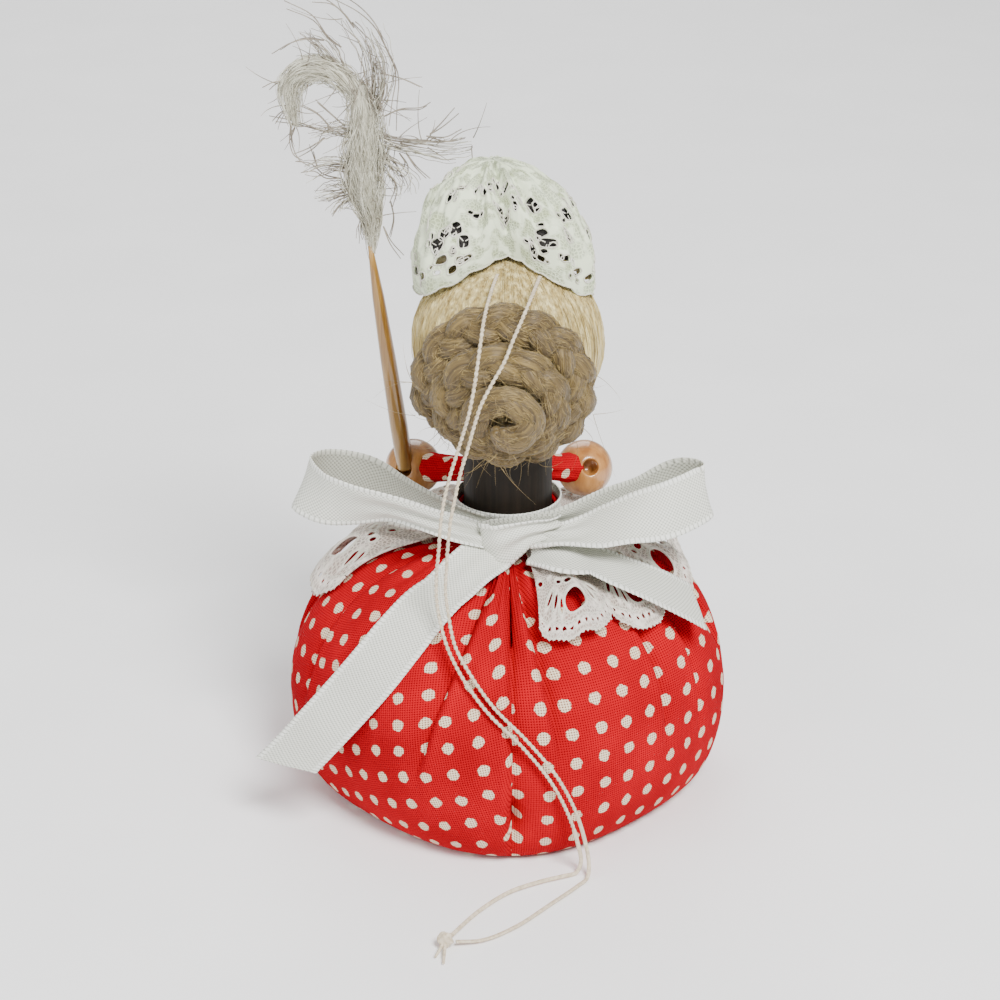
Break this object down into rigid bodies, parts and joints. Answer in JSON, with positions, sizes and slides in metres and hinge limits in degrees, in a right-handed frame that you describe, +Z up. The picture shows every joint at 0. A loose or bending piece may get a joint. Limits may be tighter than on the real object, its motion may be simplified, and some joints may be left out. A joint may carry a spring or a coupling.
{
  "type": "doll ornament",
  "caption": "Standing and hanging doll ornament with a stuffed cotton skirt, turned wooden head and bead hands, lace cap and collar, satin bow and a duster on a stick.",
  "frame": {"origin": "middle of the skirt's flat foot, on the surface it stands on", "axes": "+Z up along the neck post, -Y the way the doll faces, so +X is the doll's left and the bow is at +Y"},
  "size_m": [0.0818, 0.1042, 0.1374],
  "materials": {
    "red_cotton": "plain-woven cotton printed with cream dots",
    "fibre_filling": "loose fibre wadding",
    "base_board": "sawn board",
    "blackened_wood": "stained black, matt",
    "varnished_birch": "clear varnish, glossy",
    "flax": "combed and plaited flax fibre",
    "black_felt": "soft felt wad",
    "lace": "machine-made lace",
    "satin_ribbon": "woven satin with stitched edges",
    "steel_wire": "soft drawn wire",
    "yarn": "teased-out yarn",
    "thread": "twisted cotton thread"
  },
  "bodies": {
    "doll": {"skirt_bag": "red_cotton", "fibre_filling": "fibre_filling", "base_disc": "base_board", "neck_post": "blackened_wood", "shoulder_wire": "steel_wire", "head_ball": "varnished_birch", "hair_layer": "flax", "hair_bun": "flax", "crown_pad": "black_felt", "lace_cap": "lace", "lace_collar": "lace", "ribbon_neck_band": "satin_ribbon", "ribbon_knot": "satin_ribbon", "ribbon_loop_left": "satin_ribbon", "ribbon_loop_right": "satin_ribbon", "ribbon_tail_left": "satin_ribbon", "ribbon_tail_right": "satin_ribbon", "cord_strand_left": "thread", "cord_strand_right": "thread", "cord_knot": "thread"},
    "left_arm": {"arm_wire_left": "steel_wire", "sleeve_left": "red_cotton", "hand_bead_left": "varnished_birch"},
    "right_arm": {"arm_wire_right": "steel_wire", "sleeve_right": "red_cotton", "hand_bead_right": "varnished_birch"},
    "duster": {"duster_stick": "varnished_birch", "duster_tuft": "yarn"}
  },
  "joints": [
    {"name": "left_arm_swing", "type": "hinge", "parent": "doll", "child": "left_arm", "pos_m": [0.00777, -0.00707, 0.0576], "axis": [0, 0, 1], "range_deg": [-30, 30]},
    {"name": "right_arm_swing", "type": "hinge", "parent": "doll", "child": "right_arm", "pos_m": [-0.007, -0.00783, 0.0576], "axis": [0, 0, 1], "range_deg": [-30, 30]},
    {"name": "duster_twist", "type": "hinge", "parent": "left_arm", "child": "duster", "pos_m": [0.01901, -0.01247, 0.05539], "axis": [0.1312, -0.01, 0.9913], "range_deg": [-40, 40]}
  ]
}
